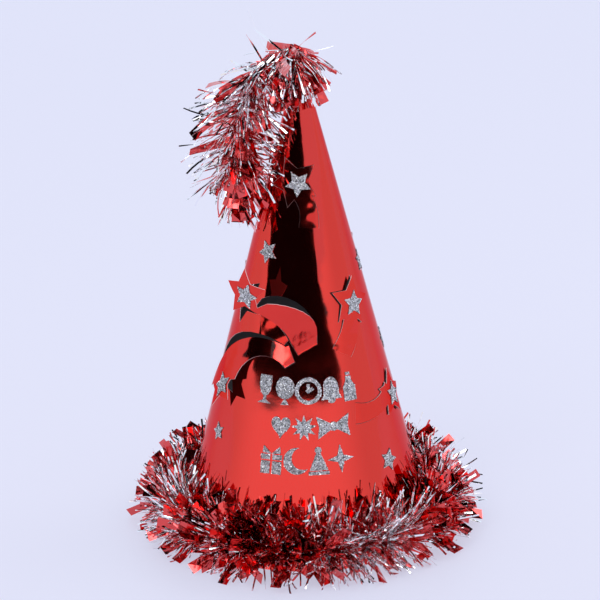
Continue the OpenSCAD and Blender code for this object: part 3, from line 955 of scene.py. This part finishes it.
topper_strips("topper_red", 90, (0.9, 1.3), RED_FILM, 8, (18, 30), 0.5)
topper_strips("topper_silver", 560, (0.9, 1.2), SILVER_FILM, 8, (24, 35), 0.3)
topper_strips("topper_wide", 104, (5.4, 7.0), RED_FILM, 6, (22, 34), 0.35)


# ---- stage: floor, light, and what the foil reflects ------------------------------------------

world = bpy.data.worlds.new("pale_room")
world.use_nodes = True
world.node_tree.nodes["Background"].inputs["Color"].default_value = (0.79, 0.86, 1.0, 1)
world.node_tree.nodes["Background"].inputs["Strength"].default_value = 0.98
bpy.context.scene.world = world

DISC_SIDES, FLOOR_R = 96, 6000
turn = np.linspace(0, 2 * math.pi, DISC_SIDES, endpoint=False)
disc = np.stack([FLOOR_R * np.cos(turn), FLOOR_R * np.sin(turn), np.full(DISC_SIDES, -0.05)], 1)
floor_mat, _, _ = material("floor", Base_Color=(0.26, 0.255, 0.28, 1), Roughness=0.6,
                           Emission_Color=(0.80, 0.81, 1.0, 1), Emission_Strength=0.60)
floor = mesh_object("floor", disc, [tuple(range(DISC_SIDES))], [floor_mat], [0])

# The dark side of the room: an outline on a drum round the hat, as (azimuth, height).
DRUM_R = 2000
shade = [(52, 316), (34, 350), (14, 378), (-6, 384), (-27, 360), (-47, 312), (-59, 280),
         (-70, 235), (-78, 215), (-74, 300), (-73, 359), (-77, 384), (-82, 400), (-84, 460),
         (-90, 700), (-88, 1500), (-12, 1500), (-13, 803), (4, 769), (12, 721), (20, 677),
         (29, 620), (29, 568), (33, 518), (39, 454), (45, 388)]
shade_mat, _, _ = material("dark_room", Base_Color=(0.004, 0.003, 0.004, 1), Roughness=1.0,
                           Specular_IOR_Level=0.0)
q = [Vector(p) for p in resample(np.array(shade, float), 8).tolist()]
out = delaunay_2d_cdt(q, [(i, (i + 1) % len(q)) for i in range(len(q))], [], 1, 1e-6)
flat = np.array([tuple(v) for v in out[0]])
a = np.radians(flat[:, 0])
drum = np.stack([DRUM_R * np.sin(a), -DRUM_R * np.cos(a), flat[:, 1]], 1)
dark = mesh_object("dark_room", drum, [tuple(t) for t in out[2]], [shade_mat],
                   np.zeros(len(out[2])))


def mirror_only(o):
    """Seen in the foil and the film alone."""
    o.visible_camera = False
    o.visible_diffuse = False
    o.visible_shadow = False
    o.visible_transmission = False


mirror_only(dark)
CEILING_SHARE, CEILING_Z = 0.3, 2100       # its radius as a share of the floor's, its height
ceiling = mesh_object("dark_ceiling",
                      disc * [CEILING_SHARE, CEILING_SHARE, 0] + [0, 0, CEILING_Z],
                      [tuple(range(DISC_SIDES))], [shade_mat], [0])
mirror_only(ceiling)

# the bright table in front: a strip that fades into the room's own brightness on both sides
near_mat, tree, bsdf = material("bright_table", Base_Color=(0, 0, 0, 1), Roughness=1.0,
                                Emission_Color=(1.0, 0.98, 1.0, 1))
coords = node(tree, "ShaderNodeTexCoord")
toward = node(tree, "ShaderNodeVectorMath", operation="DOT_PRODUCT")
toward.inputs[1].default_value = (-0.21, -0.98, 0)
fade = node(tree, "ShaderNodeMapRange", interpolation_type="SMOOTHSTEP")
for key, value in (("From Min", 0.2), ("From Max", 1.7), ("To Min", 0.775), ("To Max", 1.03)):
    fade.inputs[key].default_value = value
tree.links.new(coords.outputs["Object"], toward.inputs[0])
tree.links.new(toward.outputs["Value"], fade.inputs["Value"])
tree.links.new(fade.outputs["Result"], bsdf.inputs["Emission Strength"])
STRIP_R, STRIP_TOP, STRIP_POSTS = 2100, 560.0, 40
a = np.radians(np.linspace(-120, 100, STRIP_POSTS))
strip = np.concatenate([np.stack([STRIP_R * np.sin(a), -STRIP_R * np.cos(a),
                                  np.full(STRIP_POSTS, z)], 1) for z in (0.0, STRIP_TOP)])
near = mesh_object("bright_table", strip,
                   [(i, i + 1, i + STRIP_POSTS + 1, i + STRIP_POSTS)
                    for i in range(STRIP_POSTS - 1)],
                   [near_mat], np.zeros(STRIP_POSTS - 1))
mirror_only(near)


LIT = Vector((0, 0, 0.12))         # metres, as is all that follows


def area_light(name, spot, size, power):
    data = bpy.data.lights.new(name, "AREA")
    data.shape = "DISK"
    data.size = size
    data.energy = power
    o = bpy.data.objects.new(name, data)
    o.location = spot
    o.rotation_euler = (LIT - Vector(spot)).to_track_quat("-Z", "Y").to_euler()
    bpy.context.scene.collection.objects.link(o)


area_light("key", (-0.7, -0.9, 1.5), 0.9, 7.0)
area_light("fill", (1.1, 0.3, 1.4), 0.8, 4.0)

cam = bpy.data.cameras.new("camera")
cam.lens, cam.sensor_width = 118.8, 36.0
cam.clip_start, cam.clip_end = 0.05, 30.0
camera = bpy.data.objects.new("camera", cam)
el, roll, far = math.radians(18.0), math.radians(1.02), 1.150
aim_at = Vector((-0.0019, 0, 0.1374))
back = Vector((0, -math.cos(el), math.sin(el)))
camera.location = aim_at + back * far
right0, up0 = Vector((1, 0, 0)), Vector((0, math.sin(el), math.cos(el)))
right = right0 * math.cos(roll) - up0 * math.sin(roll)
up = up0 * math.cos(roll) + right0 * math.sin(roll)
camera.rotation_euler = Matrix((right, up, back)).transposed().to_euler()
bpy.context.scene.collection.objects.link(camera)
bpy.context.scene.camera = camera
bpy.context.scene.view_settings.view_transform = "Standard"
